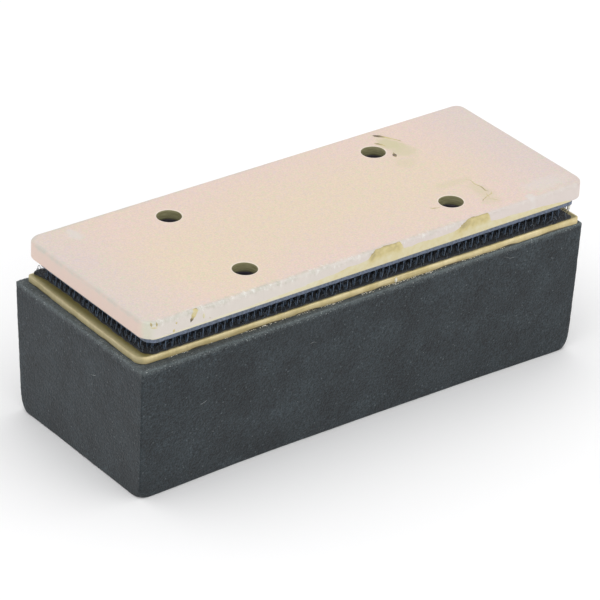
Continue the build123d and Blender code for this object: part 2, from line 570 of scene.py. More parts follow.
# the mounting plate: rounded edges, four bores with a broken top edge, each countersunk from the tape side
plateShape = {
    "cornerRadii": (2.0, 3.0, 2.8, 2.9),
    "topRound": 0.5,
    "bottomRound": 0.3,
    "boreRadius": 2.5,
    "boreRound": 0.1,
    "sinkRadius": 4.1,
    "spacing": (50.0, 25.0),
    "step": 0.5,
    "nick": 0.22,
    "nickedBefore": -19.0,
    "boreSides": 48,
    "edgeGreyShare": (0.25, 0.8, 1.0, 1.0, 1.0, 1.0, 0.7, 0.25),  # ring by ring, most where the edge turns
}


def plateNick(x, y, z, thickness):  # how far the scuffed front edge is knocked in at a point
    if y > plateShape["nickedBefore"] or z < thickness - plateShape["topRound"]:
        return 0.0
    dent = noise.noise(Vector((x * 0.9, 3.1, z * 1.5))) - 0.12
    return plateShape["nick"] * max(0.0, dent) * 2


def boreProfile(thickness):  # radius and height from the top down: broken edge, wall, countersink
    radius, lip, sink = [plateShape[k] for k in ("boreRadius", "boreRound", "sinkRadius")]
    sinkTop = sink - radius
    profile = [(radius + lip + 0.3, thickness)]
    for i in range(4):
        a = math.pi / 2 * i / 3
        profile.append((radius + lip * (1 - math.sin(a)), thickness - lip * (1 - math.cos(a))))
    profile += [(radius, z) for z in np.linspace(thickness - 0.4, sinkTop, 5)]
    profile += [(radius + 0.06, sinkTop - 0.06), (sink, 0.0), (sink + 0.3, 0.0)]
    return profile


def fillBetween(bm, loops, up):  # a flat face between an outer ring and the rings of the bores
    border = set(sum(loops, []))
    edges = [e for e in bm.edges if len(e.link_faces) == 1 and border.issuperset(e.verts)]
    made = bmesh.ops.triangle_fill(bm, edges=edges, use_beauty=True)["geom"]
    for face in [g for g in made if isinstance(g, bmesh.types.BMFace)]:
        face.normal_update()
        if (face.normal.z > 0) != up:
            face.normal_flip()


def makePlate():
    shape = plateShape
    low, high = [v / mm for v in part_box("mounting_plate")]
    size = high - low
    points, normals = outline(size.x, size.y, shape["cornerRadii"], shape["step"])
    profile = [(1.5, size.z)] + roundedProfile(size.z, shape["topRound"], shape["bottomRound"])
    rings = slabRings(points, normals, profile, rough=0.03, grain=0.7)
    rings = [[(x, y + plateNick(x, y, z, size.z), z) for x, y, z in ring] for ring in rings]
    rings[0] = [(*(p - n * profile[0][0]), size.z) for p, n in zip(points, normals)]
    rings[-1] = [(*(p - n * profile[-1][0]), 0.0) for p, n in zip(points, normals)]
    bm = bmesh.new()
    edgeLayer = bm.verts.layers.float.new("edge")
    lipLayer = bm.verts.layers.float.new("lip")
    loops = ringWall(bm, rings)
    for ring, share in zip(loops[1:], shape["edgeGreyShare"]):
        for vert in ring:
            vert[edgeLayer] = share
    topLoops, bottomLoops = [loops[0]], [loops[-1]]

    angles = [math.tau * i / shape["boreSides"] for i in range(shape["boreSides"])]
    coneTop = shape["sinkRadius"] - shape["boreRadius"] - 0.06
    for sx in (-0.5, 0.5):
        for sy in (-0.5, 0.5):
            cx, cy = sx * shape["spacing"][0], sy * shape["spacing"][1]
            bored = ringWall(bm, [
                [(cx + r * math.cos(a), cy - r * math.sin(a), z) for a in angles]
                for r, z in boreProfile(size.z)
            ])
            for vert in sum(bored[1:4], []):
                vert[lipLayer] = 1.0
            topLoops.append(bored[0])
            bottomLoops.append(bored[-1])
            for face in {f for v in sum(bored[1:-2], []) for f in v.link_faces}:
                middle = face.calc_center_median().z
                if middle < size.z - 0.05:
                    face.material_index = 1 if middle > coneTop else 2  # the wall, or the glued cone
    fillBetween(bm, topLoops, True)
    fillBetween(bm, bottomLoops, False)
    mesh = finishMesh(bm, "plate", centre=((low.x + high.x) / 2, (low.y + high.y) / 2), base=low.z)
    for finish in ("plate", "bore", "back"):
        mesh.materials.append(finishes[finish])
    plate = newPiece("plate", mesh, None)
    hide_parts("mounting_plate")
    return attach(plate, "plate")


makePlate()
print("plate made")


# adhesive that ran out from under the plate along its front side and dried as a film with two thick patches
runShape = {
    "film": 0.1,
    "step": 0.25,
    "rows": 14,
    "heights": [
        (-51, 0.25), (-40, 0.4), (-27, 0.55), (-17, 0.95), (-9.7, 1.4), (-5.9, 1.85),
        (0, 2.1), (22, 2.1), (33, 1.55), (41.7, 1.2), (47.5, 0.6), (50.5, 0.25),
    ],
    "patches": [(-1.0, 1.5, 7.0, 8.2), (20.4, 24.4, 28.7, 29.9)],
    "patchHeight": 3.95,
}


# a point on the plate's front side, along from its lower edge and lifted off it
def frontPlace(x, along, lift, low, high):
    r = plateShape["topRound"]
    nearLeft, nearRight = plateShape["cornerRadii"][2:]
    recess = 0.0
    for past, radius in ((low.x + nearLeft - x, nearLeft), (x - high.x + nearRight, nearRight)):
        if past > 0:
            recess = radius - math.sqrt(max(0.0, radius ** 2 - past ** 2))
    upright = high.z - low.z - r
    angle = max(0.0, (along - upright) / r)
    y = low.y + recess + r - (r + lift) * math.cos(angle)
    z = low.z + min(along, upright) + (r + lift) * math.sin(angle)
    return (x, y, z)


def patchShare(x):
    share = 0.0
    for a, b, c, d in runShape["patches"]:
        share = max(share, min(np.interp(x, [a, b], [0, 1]), np.interp(x, [c, d], [1, 0])))
    return share * share * (3 - 2 * share)


def makeGlueRun():
    look = runShape
    low, high = [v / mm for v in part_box("mounting_plate")]
    bm = bmesh.new()
    depth = bm.verts.layers.float.new("glueDepth")
    columns = []
    xs = np.arange(look["heights"][0][0], look["heights"][-1][0], look["step"])
    for x in xs:
        share = patchShare(x)
        top = np.interp(x, *zip(*look["heights"]))
        slow, quick = noise.noise(Vector((x * 0.35, 1.7, 0))), noise.noise(Vector((x * 1.3, 5.2, 0)))
        top += 0.16 * slow + 0.08 * quick
        top += share * (look["patchHeight"] - top) + 0.12 * share * noise.noise(Vector((x * 0.8, 9.0, 0)))
        end = min(1.0, (x - xs[0]) / 2, (xs[-1] - x) / 2)
        column = []
        for j in range(look["rows"]):
            u = j / (look["rows"] - 1)
            swell = (1 - u ** 5) * (0.6 + 0.4 * share) * max(0.0, end)
            lump = 0.5 + 0.9 * noise.noise(Vector((x * 0.6, u * top * 0.8, 2.0)))
            lift = look["film"] * swell * (1 + 0.5 * lump) - 0.015
            vert = bm.verts.new(frontPlace(x, 0.04 + u * (max(top, 0.1) - 0.04), lift, low, high))
            inPatch = share * min(1.0, max(0.0, (u * top - 1.2) / 1.2))
            rimDark = 0.3 * share * max(0.0, (u - 0.86) / 0.14)
            rising = share * (1 - share) * min(1.0, u * 1.5) if patchShare(x + 0.2) > share else 0.0
            mottle = 0.12 * inPatch * noise.noise(Vector((x * 1.1, u * top * 1.4, 6.0)))
            thicker = np.interp(x, [-30, -5], [-0.08, 0.08])
            vert[depth] = thicker + 0.24 * inPatch + rimDark + rising + mottle
            column.append(vert)
        columns.append(column)
    for left, right in zip(columns, columns[1:]):
        for j in range(look["rows"] - 1):
            bm.faces.new((left[j], right[j], right[j + 1], left[j + 1]))
    run = newPiece("glue_run", finishMesh(bm, "glue_run"), finishes["glue"])
    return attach(run, "plate")


# strings and spots of adhesive: two places in mm on the plate's top or front side, half-width, thickness tone
topTraces = [
    [(29.9, 18.4, 0.15, 0.8), (30.4, 17.9, 0.6, 1.05), (31.0, 17.3, 0.56, 0.95), (31.8, 16.3, 0.3, 0.5),
     (32.6, 14.9, 0.2, 0.38), (33.3, 13.6, 0.22, 0.65), (33.6, 12.9, 0.08, 0.5)],
    [(28.1, 15.5, 0.12, 0.6), (28.7, 14.8, 0.4, 0.8), (29.2, 14.0, 0.26, 0.55), (29.5, 13.0, 0.14, 0.4)],
    [(29.1, 10.3, 0.1, 0.45), (28.7, 9.5, 0.4, 0.95), (28.45, 8.9, 0.5, 1.05), (28.2, 8.2, 0.2, 0.6)],
    [(33.6, -6.2, 0.06, 0.5), (34.6, -7.6, 0.12, 0.6), (34.3, -9.2, 0.14, 0.5), (34.7, -10.8, 0.16, 0.7),
     (34.4, -12.6, 0.22, 0.72), (34.9, -13.3, 0.06, 0.6)],
    [(35.4, -13.2, 0.06, 0.5), (34.6, -14.2, 0.15, 0.55), (33.2, -14.6, 0.1, 0.5), (31.5, -15.4, 0.14, 0.65),
     (30.9, -16.1, 0.06, 0.6)],
    [(33.9, -13.4, 0.06, 0.45), (33.4, -14.4, 0.14, 0.5), (33.3, -15.4, 0.08, 0.45)],
    [(20.4, -12.2, 0.05, 0.5), (20.9, -12.8, 0.2, 0.65), (21.9, -13.2, 0.12, 0.6), (22.8, -13.3, 0.05, 0.5)],
    [(32.5, -15.2, 0.05, 0.5), (33.6, -16.4, 0.12, 0.5), (34.2, -17.6, 0.06, 0.4)],
]
frontTraces = [
    [(-51.0, 3.7, 0.1, 0.6), (-51.0, 3.2, 0.2, 0.75), (-51.0, 2.8, 0.1, 0.5)],
    [(-49.98, 3.65, 0.08, 0.6), (-49.97, 3.1, 0.18, 0.72), (-49.95, 2.6, 0.08, 0.5)],
    [(-51.2, 2.6, 0.1, 0.2), (-50.4, 2.5, 0.22, 0.35), (-49.8, 2.35, 0.1, 0.2)],
    [(-45.57, 2.4, 0.1, 0.45), (-45.54, 2.1, 0.2, 0.6), (-45.53, 1.8, 0.1, 0.45)],
    [(-46.05, 1.0, 0.12, 0.4), (-46.07, 0.6, 0.28, 0.5), (-46.06, 0.25, 0.15, 0.4)],
    [(-40.85, 3.85, 0.6, 0.95), (-41.05, 3.6, 0.62, 0.42), (-41.3, 3.1, 0.6, 0.3), (-41.6, 2.5, 0.52, 0.42),
     (-41.9, 2.0, 0.42, 0.75), (-42.15, 1.6, 0.36, 1.1), (-42.3, 1.2, 0.12, 1.0)],
    [(-39.32, 2.3, 0.15, 0.12), (-39.28, 1.7, 0.36, 0.22), (-39.24, 1.1, 0.2, 0.15)],
    [(-37.95, 0.95, 0.06, 0.55), (-37.86, 0.85, 0.15, 0.65), (-37.75, 0.75, 0.06, 0.55)],
]


def addTrace(bm, depth, trace, put, height):
    spine = np.array(trace)
    samples = np.linspace(0, len(spine) - 1, 6 * len(spine))
    dense = np.array([[np.interp(t, range(len(spine)), spine[:, k]) for k in range(4)] for t in samples])
    rows = []
    for i, (a, b, width, tone) in enumerate(dense):
        ahead, behind = dense[min(i + 1, len(dense) - 1)], dense[max(i - 1, 0)]
        along = np.array([ahead[0] - behind[0], ahead[1] - behind[1]])
        side = np.array([-along[1], along[0]]) / max(1e-6, np.linalg.norm(along))
        taper = math.sin(math.pi * (i + 0.5) / len(dense)) ** 0.4
        width = width * taper * (1 + 0.35 * noise.noise(Vector((a * 2.1, b * 2.1, 0))))
        row = []
        for s in (-1, -0.6, 0, 0.6, 1):
            lift = height * (1 - s * s) * min(1.0, width / 0.25) - 0.01
            vert = bm.verts.new(put(a + side[0] * s * width, b + side[1] * s * width, lift))
            vert[depth] = tone - 0.2
            row.append(vert)
        rows.append(row)
    for one, two in zip(rows, rows[1:]):
        for j in range(4):
            bm.faces.new((one[j + 1], one[j], two[j], two[j + 1]))


def makeGlueTraces():
    low, high = [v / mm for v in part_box("mounting_plate")]
    bm = bmesh.new()
    depth = bm.verts.layers.float.new("glueDepth")
    for trace in topTraces:
        addTrace(bm, depth, trace, lambda a, b, lift: (a, b, high.z + lift), 0.07)
    for trace in frontTraces:
        addTrace(bm, depth, trace, lambda a, b, lift: frontPlace(a, b, lift, low, high), 0.1)
    bmesh.ops.recalc_face_normals(bm, faces=bm.faces)
    traces = newPiece("glue_traces", finishMesh(bm, "glue_traces"), finishes["glue"])
    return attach(traces, "plate")


# adhesive crumbs hanging from the right end of the hook tape: middle and half-size in millimetres
crumbSpots = [
    ((50.9, -18.9, 33.0), 0.3),
    ((50.8, -19.2, 32.6), 0.34),
    ((50.6, -19.4, 32.2), 0.26),
    ((51.0, -18.5, 32.7), 0.22),
    ((50.4, -19.5, 32.7), 0.22),
    ((50.8, -18.9, 32.1), 0.2),
    ((50.5, -19.1, 33.1), 0.3),
]


def makeTapeCrumbs():
    bm = bmesh.new()
    for (x, y, z), size in crumbSpots:
        made = bmesh.ops.create_icosphere(bm, subdivisions=2, radius=1.0)["verts"]
        for vert in made:
            bulge = size * (1 + 0.5 * noise.noise(vert.co * 1.9 + Vector((x, y, z))))
            vert.co = Vector((x, y, z)) + vert.co * bulge
    bmesh.ops.recalc_face_normals(bm, faces=bm.faces)
    crumbed = newPiece("tape_crumbs", finishMesh(bm, "tape_crumbs"), finishes["beads"])
    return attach(crumbed, "plate")


makeGlueRun()
makeGlueTraces()
makeTapeCrumbs()
print("adhesive on the plate made")


def capSlab(bm, loops):  # closes the first and last ring
    bm.faces.new(loops[0])
    bm.faces.new(list(reversed(loops[-1])))


# tape strips: base of the hook tape under the plate, and base of the loop tape on the board
tapeShape = {"cornerRadii": (0.8, 2.4, 2.4, 0.6), "rough": 0.12, "step": 0.5, "edgeRound": 0.3}
boardShape = {
    "length": 105.6,
    "width": 38.6,
    "cornerRadii": (0.7, 0.6, 2.2, 0.7),
    "turn": -0.7,
    "edgeRound": 0.16,
    "step": 0.6,
}
loopShape = {"length": 101.7, "width": 38.1, "cornerRadii": (0.8, 0.7, 2.4, 0.6), "rough": 0.25}
# how far the loop tape was cut short at its left end and its right end, across its width
loopCut = {
    "reach": 4.0,
    "left": [
        (-19, 0.1), (-9, 0.15), (-2, 0.3), (5, 0.45), (12, 0.4), (17, 0), (18.5, -0.5), (19.1, -0.5),
    ],
    "right": [(-19, -0.8), (-10, -0.4), (19, 0.0)],
}


def cutEnds(points, length):  # points in the tape's own frame, in millimetres
    reach = loopCut["reach"]
    fromLeft = np.clip((reach - length / 2 - points[:, 0]) / reach, 0, 1)
    fromRight = np.clip((reach - length / 2 + points[:, 0]) / reach, 0, 1)
    shift = fromLeft * np.interp(points[:, 1], *zip(*loopCut["left"]))
    points[:, 0] += shift - fromRight * np.interp(points[:, 1], *zip(*loopCut["right"]))
    return points


def makeStrip(name, size, shape, turn, centre, base, materials, cut=False):
    points, normals = outline(size[0], size[1], shape["cornerRadii"], tapeShape["step"])
    if cut:
        points = cutEnds(points, size[0])
    edge = min(tapeShape["edgeRound"], size[2] * 0.45)
    rings = slabRings(points, normals, roundedProfile(size[2], edge, edge), shape["rough"], 0.9)
    bm = bmesh.new()
    capSlab(bm, ringWall(bm, rings))
    strip = newPiece(name, finishMesh(bm, name, turn, centre, base), materials[0])
    for extra in materials[1:]:  # the glued upper face
        strip.data.materials.append(extra)
        max(strip.data.polygons, key=lambda f: f.center.z).material_index = 1
    return strip


def middleOf(node):
    low, high = [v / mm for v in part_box(node)]
    return (low + high) / 2


def makeTapes():
    low, high = [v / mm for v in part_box("hook_tape")]
    size = (high.x - low.x, high.y - low.y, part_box("mounting_plate")[0].z / mm - low.z)
    hook = makeStrip("hook_strip", size, tapeShape, 0.0, middleOf("hook_tape"), low.z,
                     [finishes["strip"], finishes["back"]])
    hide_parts("hook_tape", "plate_adhesive")
    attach(hook, "plate")
    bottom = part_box("backing_board")[1].z / mm
    size = (loopShape["length"], loopShape["width"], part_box("loop_tape")[1].z / mm - bottom)
    loop = makeStrip("loop_strip", size, loopShape, boardShape["turn"], middleOf("loop_tape"), bottom,
                     [finishes["knit"]], cut=True)
    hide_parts("loop_tape", "tape_adhesive")
    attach(loop, "pad")


def makeBoard():
    shape = boardShape
    low, high = [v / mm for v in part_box("backing_board")]
    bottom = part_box("foam_block")[1].z / mm
    points, normals = outline(shape["length"], shape["width"], shape["cornerRadii"], shape["step"])
    profile = roundedProfile(high.z - bottom, shape["edgeRound"], shape["edgeRound"])
    rings = slabRings(points, normals, profile, 0.06, 0.5)
    bm = bmesh.new()
    topLayer = bm.verts.layers.float.new("topFace")
    loops = ringWall(bm, rings)
    for vert in loops[0]:
        vert[topLayer] = 1.0
    capSlab(bm, loops)
    board = newPiece("board", finishMesh(bm, "board", shape["turn"], middleOf("backing_board"), bottom),
                     finishes["board"])
    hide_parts("backing_board", "foam_adhesive")
    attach(board, "pad")


makeTapes()
makeBoard()
print("tapes and board made")


def newTree(name, sockets):  # an empty Geometry Nodes tree with named inputs
    tree = bpy.data.node_groups.new(name, "GeometryNodeTree")
    tree.interface.new_socket(name="Geometry", in_out="OUTPUT", socket_type="NodeSocketGeometry")
    tree.interface.new_socket(name="Geometry", in_out="INPUT", socket_type="NodeSocketGeometry")
    for socketName, socketKind in sockets:
        tree.interface.new_socket(name=socketName, in_out="INPUT", socket_type="NodeSocket" + socketKind)
    return tree, tree.nodes.new("NodeGroupInput").outputs, tree.nodes.new("NodeGroupOutput").inputs


def dressTree(tree, whole, given, result):  # the last node gives the made mesh its material
    dressed = addNode(tree, "GeometryNodeSetMaterial", {}, {
        "Geometry": whole, "Material": given["Material"],
    })
    tree.links.new(dressed.outputs["Geometry"], result["Geometry"])
    return tree


def grow(name, tree, values, seedMesh=None):  # runs a tree and keeps its result as a plain mesh
    holder = bpy.data.objects.new(name + "Holder", seedMesh or bpy.data.meshes.new(name + "Seed"))
    bpy.context.scene.collection.objects.link(holder)
    modifier = holder.modifiers.new("grow", "NODES")
    modifier.node_group = tree
    for item in tree.interface.items_tree:
        if item.in_out == "INPUT" and item.name in values:
            modifier[item.identifier] = values[item.name]
    graph = bpy.context.evaluated_depsgraph_get()
    mesh = bpy.data.meshes.new_from_object(holder.evaluated_get(graph), depsgraph=graph)
    bpy.data.objects.remove(holder)
    print(name, "faces:", len(mesh.polygons))
    return newPiece(name, mesh, None, smooth=False)


# one filament bent into a hook or a loop, set on a jittered grid of points and made one mesh
def filamentTree(name, mirrored):
    numbers = ("Length", "Width", "Pitch X", "Pitch Y", "Jitter", "Height", "Spread", "Return",
               "Wire", "Corner", "Lean", "Size Change", "Quarter Turns", "Turn")
    tree, given, result = newTree(name, [(socket, "Float") for socket in numbers] + [
        ("Sides", "Int"), ("Seed", "Int"), ("Centre", "Vector"), ("Material", "Material"),
    ])
    countX = mathNode(tree, "DIVIDE", given["Length"], given["Pitch X"])
    countY = mathNode(tree, "DIVIDE", given["Width"], given["Pitch Y"])
    grid = addNode(tree, "GeometryNodeMeshGrid", {}, {
        "Size X": given["Length"], "Size Y": given["Width"], "Vertices X": countX, "Vertices Y": countY,
    })
    least = addNode(tree, "vector", {"operation": "SCALE"}, {0: (-1, -1, 0), "Scale": given["Jitter"]})
    most = addNode(tree, "vector", {"operation": "SCALE"}, {0: (1, 1, 0), "Scale": given["Jitter"]})
    shake = addNode(tree, "FunctionNodeRandomValue", {"data_type": "FLOAT_VECTOR"}, {
        "Min": least, "Max": most, "Seed": given["Seed"],
    })
    halfX = mathNode(tree, "MULTIPLY", given["Length"], 0.5)
    halfY = mathNode(tree, "MULTIPLY", given["Width"], 0.5)
    innerX = mathNode(tree, "SUBTRACT", halfX, given["Corner"])
    innerY = mathNode(tree, "SUBTRACT", halfY, given["Corner"])
    inner = addNode(tree, "ShaderNodeCombineXYZ", {}, {"X": innerX, "Y": innerY})
    position = addNode(tree, "GeometryNodeInputPosition")
    folded = addNode(tree, "vector", {"operation": "ABSOLUTE"}, {0: position})
    past = addNode(tree, "vector", {"operation": "SUBTRACT"}, {0: folded, 1: inner})
    corner = addNode(tree, "vector", {"operation": "MAXIMUM"}, {0: past, 1: (0, 0, 0)})
    reach = addNode(tree, "vector", {"operation": "LENGTH"}, {0: corner})
    outermost = mathNode(tree, "MULTIPLY", given["Corner"], 1.05)
    outside = mathNode(tree, "GREATER_THAN", reach.outputs["Value"], outermost)
    kept = addNode(tree, "GeometryNodeDeleteGeometry", {"domain": "POINT"}, {
        "Geometry": grid, "Selection": outside,
    })
    moved = addNode(tree, "GeometryNodeSetPosition", {}, {"Geometry": kept, "Offset": shake})

    side = -1 if mirrored else 1
    negSpread = mathNode(tree, "MULTIPLY", given["Spread"], -0.5)
    halfSpread = mathNode(tree, "MULTIPLY", given["Spread"], 0.5)
    rise = mathNode(tree, "MULTIPLY", given["Height"], 1.35 * side)
    back = mathNode(tree, "MULTIPLY", given["Return"], side)
    start = addNode(tree, "ShaderNodeCombineXYZ", {}, {"X": negSpread})
    startHandle = addNode(tree, "ShaderNodeCombineXYZ", {}, {"X": negSpread, "Z": rise})
    endHandle = addNode(tree, "ShaderNodeCombineXYZ", {}, {"X": halfSpread, "Z": rise})
    end = addNode(tree, "ShaderNodeCombineXYZ", {}, {"X": halfSpread, "Z": back})
    bend = addNode(tree, "GeometryNodeCurvePrimitiveBezierSegment", {"mode": "POSITION"}, {
        "Resolution": 9, "Start": start, "Start Handle": startHandle, "End Handle": endHandle, "End": end,
    })
    section = addNode(tree, "GeometryNodeCurvePrimitiveCircle", {"mode": "RADIUS"}, {
        "Resolution": given["Sides"], "Radius": given["Wire"],
    })
    wire = addNode(tree, "GeometryNodeCurveToMesh", {}, {
        "Curve": bend, "Profile Curve": section, "Fill Caps": True,
    })

    lean = mathNode(tree, "MULTIPLY", given["Lean"], -1)
    leanX = addNode(tree, "FunctionNodeRandomValue", {"data_type": "FLOAT"}, {
        "Min": lean, "Max": given["Lean"], "Seed": given["Seed"],
        "ID": addNode(tree, "GeometryNodeInputIndex"),
    })
    spin = addNode(tree, "FunctionNodeRandomValue", {"data_type": "FLOAT"}, {
        "Min": 0.0, "Max": given["Quarter Turns"], "Seed": given["Seed"],
    })
    spun = mathNode(tree, "MULTIPLY_ADD", spin, math.pi / 2, given["Turn"])
    angles = addNode(tree, "ShaderNodeCombineXYZ", {}, {"X": leanX, "Y": leanX, "Z": spun})
    smallest = mathNode(tree, "SUBTRACT", 1.0, given["Size Change"])
    scale = addNode(tree, "FunctionNodeRandomValue", {"data_type": "FLOAT"}, {
        "Min": smallest, "Max": 1.0, "Seed": given["Seed"],
    })
    placed = addNode(tree, "GeometryNodeInstanceOnPoints", {}, {
        "Points": moved, "Instance": wire, "Rotation": angles, "Scale": scale,
    })
    whole = addNode(tree, "GeometryNodeRealizeInstances", {}, {"Geometry": placed})
    put = addNode(tree, "GeometryNodeTransform", {}, {"Geometry": whole, "Translation": given["Centre"]})
    soft = addNode(tree, "GeometryNodeSetShadeSmooth", {}, {"Geometry": put})
    return dressTree(tree, soft, given, result)


# hooks hang from the strip in rows, as on woven hook tape, each a stem with its end turned back
hookSet = {
    "lengths": {  # in millimetres; Wire is the filament's radius
        "Pitch X": 1.66, "Pitch Y": 1.5, "Jitter": 0.07, "Height": 2.0, "Spread": 0.75,
        "Return": 1.15, "Wire": 0.115, "Corner": 3.9,
    },
    "others": {
        "Lean": 0.08, "Size Change": 0.12, "Quarter Turns": 0.15, "Turn": 1.45, "Sides": 5, "Seed": 4,
    },
}
# loops stand on the knit base, tangled; drawn 0.14 mm thick, coarser than real filament, so that they show
loopSet = {
    "lengths": {
        "Pitch X": 1.05, "Pitch Y": 1.05, "Jitter": 0.35, "Height": 1.5, "Spread": 0.95,
        "Return": 0.0, "Wire": 0.07, "Corner": 0.9,
    },
    "others": {
        "Lean": 0.5, "Size Change": 0.45, "Quarter Turns": 4.0, "Turn": 0.0, "Sides": 3, "Seed": 11,
    },
}
fieldInset = 0.6  # how much smaller than its tape a field of hooks or loops is, in mm


def fieldValues(fieldSet, length, width, centre, material):
    lengths = fieldSet["lengths"] | {"Length": length - fieldInset, "Width": width - fieldInset}
    values = {name: value * mm for name, value in lengths.items()}
    return values | fieldSet["others"] | {"Centre": centre * mm, "Material": material}


def makeHooks():
    low, high = [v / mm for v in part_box("hook_tape")]
    middle = middleOf("hook_tape")
    root = Vector((middle.x, middle.y, low.z + 0.1))
    hooks = grow("hooks", filamentTree("hookRows", True),
                 fieldValues(hookSet, high.x - low.x, high.y - low.y, root, finishes["hooks"]))
    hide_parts("hook_stems")
    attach(hooks, "plate")


def makeLoops():
    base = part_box("loop_pile")[0].z / mm
    root = Vector((0, 0, base - 0.05))
    loops = grow("loops", filamentTree("loopField", False),
                 fieldValues(loopSet, loopShape["length"], loopShape["width"], root, finishes["loops"]))
    points = np.empty(3 * len(loops.data.vertices))
    loops.data.vertices.foreach_get("co", points)
    points = cutEnds(points.reshape(-1, 3) / mm, loopShape["length"]) * mm
    loops.data.vertices.foreach_set("co", points.ravel())
    middle = middleOf("loop_tape")
    turned = Matrix.Rotation(math.radians(boardShape["turn"]), 4, "Z")
    loops.data.transform(Matrix.Translation((middle.x * mm, middle.y * mm, 0)) @ turned)
    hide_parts("loop_pile")
    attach(loops, "pad")


makeHooks()
makeLoops()
print("hooks and loops made")


# the foam block: cut faces that wander a little, a crisp upper rim, long sides hollow lower down
foamShape = {
    "step": 0.5,
    "topCorner": 0.25,
    "bottomCorner": 2.6,
    "cornerFade": 1.3,
    "topRim": 0.2,
    "endRim": 0.38,
    "bottomRim": 0.2,
    "bottomLength": 105.6,
    "bottomWidth": 40.45,
    "topTwist": 0.4,
    "farLeftOut": 0.18,
    "wander": 0.1,
    "cells": 0.05,
    "wanderSize": 14,
    "fineRows": [0.0, 0.15, 0.4],
}
# how far the long sides are drawn in at the bottom, from one end to the other
foamHollow = [
    (-50, 0.05), (-44, 0.22), (-38, 0.45), (-30, 0.7), (-20, 0.88), (-8, 0.84),
    (2, 0.8), (14, 0.72), (23, 0.6), (32, 0.47), (41, 0.25), (48, 0.05),
]


def rimArc(distance, radius):  # inset and drop of a rounded edge, for a point on one side of it
    angle = math.pi / 4 * max(0.0, 1 - distance / radius)
    return radius * (1 - math.cos(angle)), radius * (1 - math.sin(angle))


# a, b and c run over a plain block in millimetres from its middle and base; half is its half-size at the top
def foamPoint(a, b, c, half, height):
    share = c / height
    halfX = half.x + (foamShape["bottomLength"] / 2 - half.x) * (1 - share)
    halfY = half.y + (foamShape["bottomWidth"] / 2 - half.y) * (1 - share)
    x, y, z = a * halfX / half.x, b * halfY / half.y, c
    onSide = abs(a) >= half.x - 1e-6 or abs(b) >= half.y - 1e-6
    endward = min(1.0, max(0.0, (a - half.x + 2.5) / 2.5))
    rim = foamShape["topRim"] + (foamShape["endRim"] - foamShape["topRim"]) * endward ** 2
    if share < 0.5:
        rim = foamShape["bottomRim"]
    fromEnd = height - c if share > 0.5 else c
    fromSide = min(half.x - abs(a), half.y - abs(b))
    inset = drop = 0.0
    if onSide and fromEnd < rim:
        inset, drop = rimArc(fromEnd, rim)
        drop -= fromEnd
    elif not onSide and fromSide < rim:
        drop, inset = rimArc(fromSide, rim)
        inset -= fromSide
    z += -drop if share > 0.5 else drop
    topCorner = foamShape["topCorner"]
    corner = topCorner + (foamShape["bottomCorner"] - topCorner) * math.exp(-c / foamShape["cornerFade"])
    innerX = max(-(halfX - corner), min(halfX - corner, x))
    innerY = max(-(halfY - corner), min(halfY - corner, y))
    dx, dy = x - innerX, y - innerY
    far = math.hypot(dx, dy)
    if far > 1e-9:
        squeeze = max(abs(dx), abs(dy)) / far * max(0.0, 1 - inset / corner)
        x, y = innerX + dx * squeeze, innerY + dy * squeeze
    bow = np.interp(x, *zip(*foamHollow)) * (1 - share) ** 1.5
    y -= math.copysign(bow, y) * min(1.0, abs(y) / halfY) ** 2
    # the far left edge stands out a little
    farLeft = max(0.0, -a / half.x) ** 6 * max(0.0, b / half.y) ** 3
    x -= foamShape["farLeftOut"] * farLeft
    y += foamShape["farLeftOut"] * farLeft
    twist = math.radians(foamShape["topTwist"] * share)
    return Vector((x * math.cos(twist) - y * math.sin(twist), x * math.sin(twist) + y * math.cos(twist), z))


def gridLine(low, high, step, fine):  # evenly spaced places with closer ones at both ends
    count = max(2, round((high - low - 2 * fine[-1]) / step))
    inner = np.linspace(low + fine[-1], high - fine[-1], count + 1)
    return [low + f for f in fine[:-1]] + list(inner) + [high - f for f in reversed(fine[:-1])]


